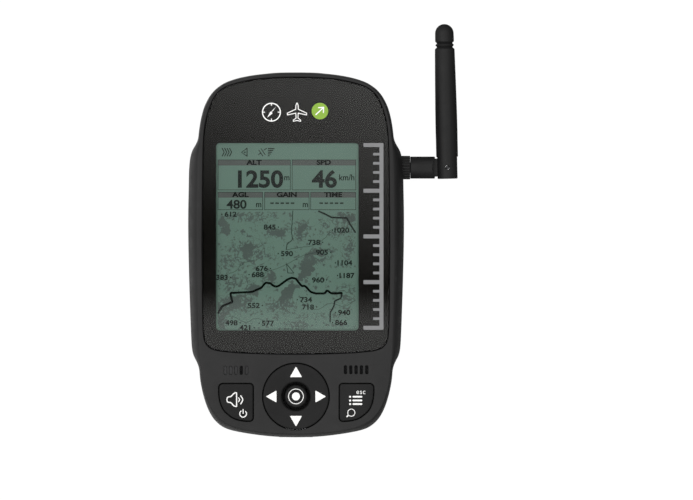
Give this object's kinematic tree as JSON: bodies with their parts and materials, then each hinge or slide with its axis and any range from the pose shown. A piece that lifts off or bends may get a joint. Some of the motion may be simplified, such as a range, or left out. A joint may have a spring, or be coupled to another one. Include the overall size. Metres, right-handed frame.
{
  "type": "portable aviation gps",
  "caption": "Handheld aviation navigator with a large display window, rocker pad, side keys and a screw-on swivelling stub antenna beside its right flank.",
  "frame": {"origin": "centre of the flat back face, which the unit rests on", "axes": "+X to the right of the screen, +Y to the top of the screen and along the upright antenna, +Z out of the screen"},
  "size_m": [0.1016, 0.1556, 0.024],
  "materials": {
    "case_front": "satin black moulded plastic",
    "case_rear": "satin black moulded plastic",
    "keycap": "matt black moulded plastic",
    "window": "clear hard-coated window with dark printed border",
    "lcd": "reflective monochrome liquid crystal panel",
    "rubber": "black moulded rubber",
    "foam": "soft black foam",
    "steel": "plain steel",
    "gold": "gold-plated brass",
    "board": "green solder mask",
    "chip": "black moulded chip",
    "flex": "amber polyimide",
    "battery": "blue-grey wrapped cell pack",
    "lead": "red insulated wire pair",
    "connector": "natural nylon connector",
    "insert": "grey felt-faced insert",
    "mesh": "black acoustic mesh",
    "antenna": "satin black moulded plastic"
  },
  "bodies": {
    "case": {"front_housing": "case_front", "rear_housing": "case_rear", "housing_seal": "rubber", "display_window": "window", "window_gasket": "rubber", "display_panel": "lcd", "display_frame": "steel", "display_flex": "flex", "main_board": "board", "processor_chip": "chip", "memory_chip": "chip", "power_chip": "chip", "receiver_shield": "steel", "battery_pack": "battery", "battery_pad": "foam", "battery_plug": "connector", "battery_lead": "lead", "usb_socket": "steel", "sounder": "chip", "sounder_mesh": "mesh", "vent_insert": "insert", "keypad_sheet": "rubber", "rf_jack": "gold", "rf_jack_nut": "steel", "rf_jack_seal": "rubber", "rf_coax": "rubber", "coax_plug": "gold", "case_screw_1": "steel", "board_screw_1": "steel", "case_screw_2": "steel", "board_screw_2": "steel", "case_screw_3": "steel", "board_screw_3": "steel", "case_screw_4": "steel", "board_screw_4": "steel", "key_switch_sound": "steel", "key_switch_menu": "steel", "key_switch_enter": "steel", "key_switch_up": "steel", "key_switch_down": "steel", "key_switch_left": "steel", "key_switch_right": "steel"},
    "sound_key": {"sound_key": "keycap"},
    "menu_key": {"menu_key": "keycap"},
    "enter_button": {"enter_button": "keycap"},
    "rocker_gimbal": {"rocker_gimbal": "rubber"},
    "rocker_ring": {"rocker_ring": "keycap"},
    "usb_cover": {"usb_cover": "rubber"},
    "antenna_core": {"antenna_core": "gold"},
    "antenna_collar": {"antenna_collar": "antenna"},
    "antenna_base": {"antenna_base": "antenna"},
    "antenna_whip": {"antenna_whip": "antenna", "antenna_pin": "steel", "antenna_radiator": "gold"}
  },
  "joints": [
    {"name": "sound_key_press", "type": "slide", "parent": "case", "child": "sound_key", "axis": [0, 0.059, -0.9983], "range_m": [0, 0.0007], "stiffness_N_per_m": 1200},
    {"name": "menu_key_press", "type": "slide", "parent": "case", "child": "menu_key", "axis": [0, 0.059, -0.9983], "range_m": [0, 0.0007], "stiffness_N_per_m": 1200},
    {"name": "enter_press", "type": "slide", "parent": "case", "child": "enter_button", "axis": [0, 0.059, -0.9983], "range_m": [0, 0.0008], "stiffness_N_per_m": 1200},
    {"name": "rocker_pitch", "type": "hinge", "parent": "case", "child": "rocker_gimbal", "pos_m": [0, -0.05303, 0.02043], "axis": [1, 0, 0], "range_deg": [-3, 3], "stiffness_Nm_per_rad": 0.3},
    {"name": "rocker_roll", "type": "hinge", "parent": "rocker_gimbal", "child": "rocker_ring", "pos_m": [0, -0.05303, 0.02043], "axis": [0, 0.9983, 0.059], "range_deg": [-3, 3], "stiffness_Nm_per_rad": 0.3},
    {"name": "usb_cover_hinge", "type": "hinge", "parent": "case", "child": "usb_cover", "pos_m": [0, -0.0681, 0.0094], "axis": [1, 0, 0], "range_deg": [0, 100]},
    {"name": "antenna_release", "type": "slide", "parent": "case", "child": "antenna_core", "axis": [1, 0, 0], "range_m": [0, 0.00353]},
    {"name": "antenna_collar_spin", "type": "hinge", "parent": "antenna_core", "child": "antenna_collar", "pos_m": [0.0407, 0.0329, 0.0108], "axis": [1, 0, 0], "range_deg": [0, 1800]},
    {"name": "antenna_swivel", "type": "hinge", "parent": "antenna_core", "child": "antenna_base", "pos_m": [0.0475, 0.0329, 0.0108], "axis": [1, 0, 0], "continuous": true},
    {"name": "antenna_tilt", "type": "hinge", "parent": "antenna_base", "child": "antenna_whip", "pos_m": [0.05698, 0.0329, 0.0108], "axis": [0, 0, 1], "range_deg": [-91.3, 0]}
  ],
  "couplings": [
    {"joint": "antenna_collar_spin", "follows": "antenna_release", "rad_per_m": 8904.7}
  ]
}
